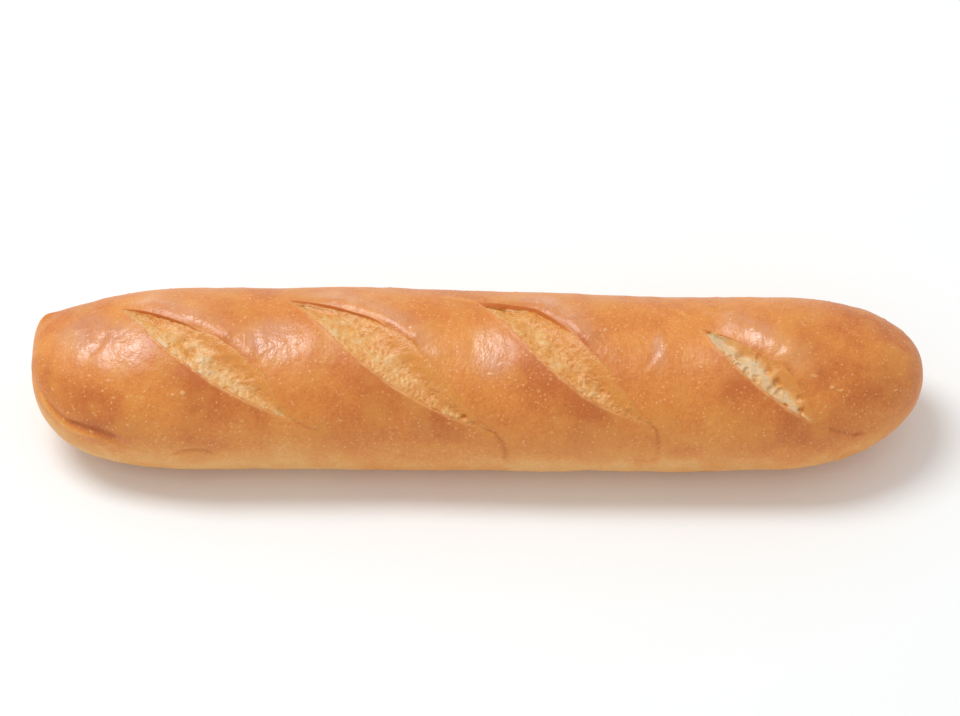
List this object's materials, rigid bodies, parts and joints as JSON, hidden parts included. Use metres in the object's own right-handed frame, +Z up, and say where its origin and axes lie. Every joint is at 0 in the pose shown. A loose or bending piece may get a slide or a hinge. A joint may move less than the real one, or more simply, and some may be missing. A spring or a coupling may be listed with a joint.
{
  "type": "baguette",
  "caption": "Short soft-crusted baguette with slanting slashes, lifted crust lips and pale open crumb, resting on its flat underside.",
  "frame": {"origin": "middle of the loaf's bounding box, on the surface that it stands on", "axes": "+X along the loaf towards its more tapered end, +Y towards the rear, where the slashes start, +Z up"},
  "size_m": [0.3, 0.0654, 0.0519],
  "materials": {
    "crust": null,
    "crumb": "open bread crumb in the slashes, cream to toasted gold, porous and dull; used by the visual model only"
  },
  "bodies": {
    "root": {"loaf": "crust"}
  },
  "joints": []
}
